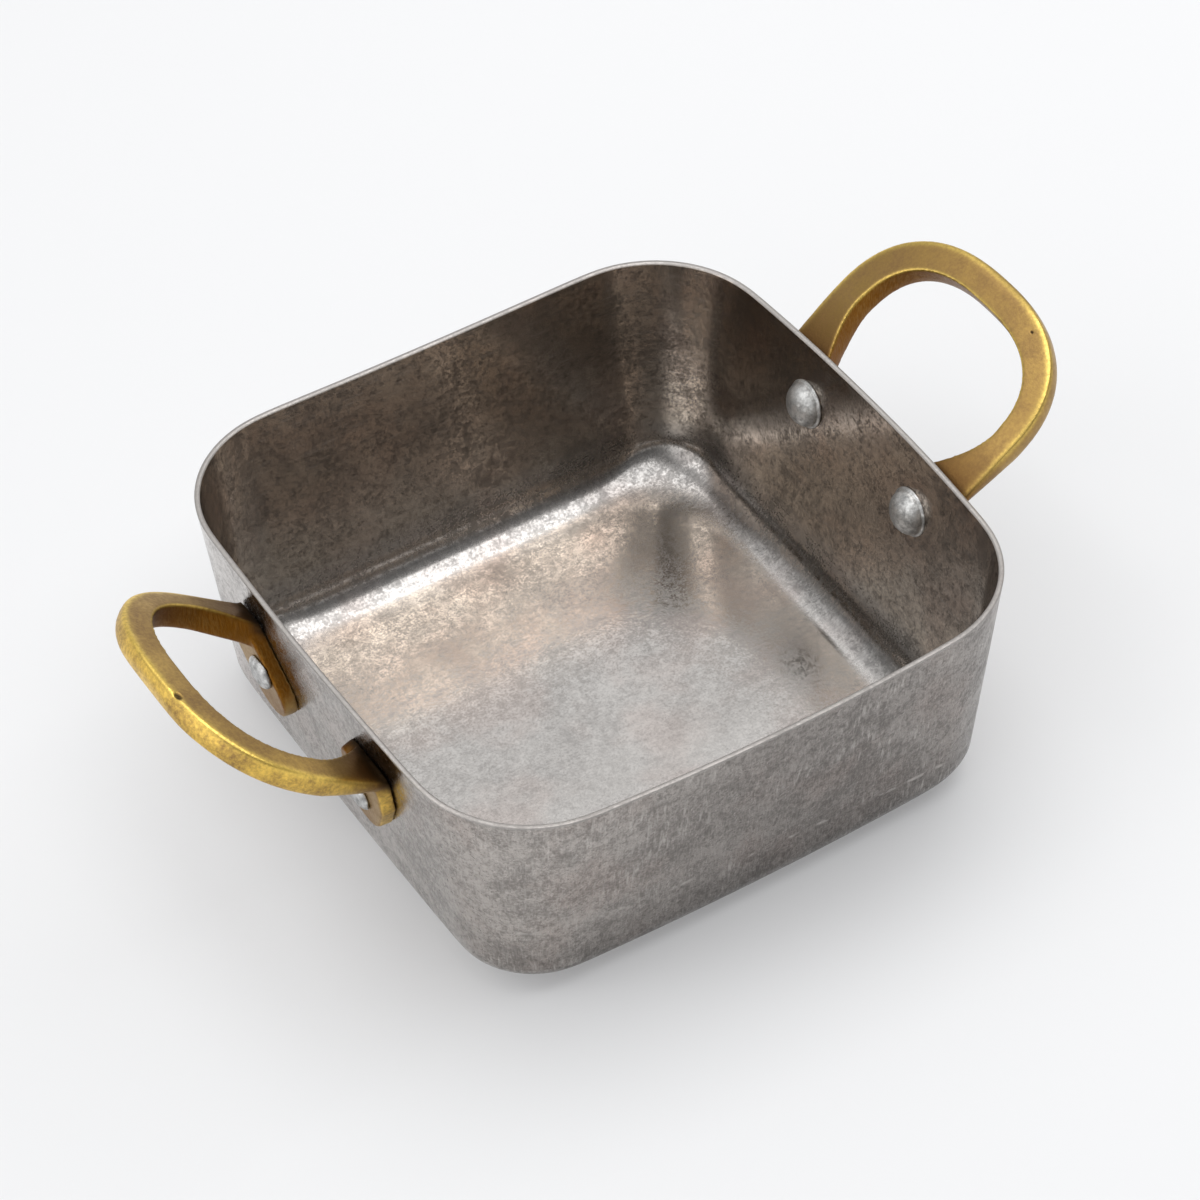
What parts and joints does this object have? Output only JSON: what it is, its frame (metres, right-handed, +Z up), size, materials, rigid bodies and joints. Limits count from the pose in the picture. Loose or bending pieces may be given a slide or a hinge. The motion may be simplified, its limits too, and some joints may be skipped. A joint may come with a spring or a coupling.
{
  "type": "serving pan",
  "caption": "Small square serving pan of antiqued steel with leaning walls and two raised brass loop handles, each riveted through the wall.",
  "frame": {"origin": "middle of the flat underside of the base, on the surface that the pan stands on", "axes": "+Z up out of the pan's mouth, +X towards the right handle, Y along the walls that carry no handle"},
  "size_m": [0.1827, 0.1216, 0.0655],
  "materials": {
    "pan_steel": "antiqued satin",
    "handle_brass": "aged cast brass with rubbed edges",
    "rivet_metal": "dull satin"
  },
  "bodies": {
    "root": {"pan_body": "pan_steel", "left_handle": "handle_brass", "right_handle": "handle_brass", "left_front_rivet": "rivet_metal", "left_rear_rivet": "rivet_metal", "right_front_rivet": "rivet_metal", "right_rear_rivet": "rivet_metal"}
  },
  "joints": []
}
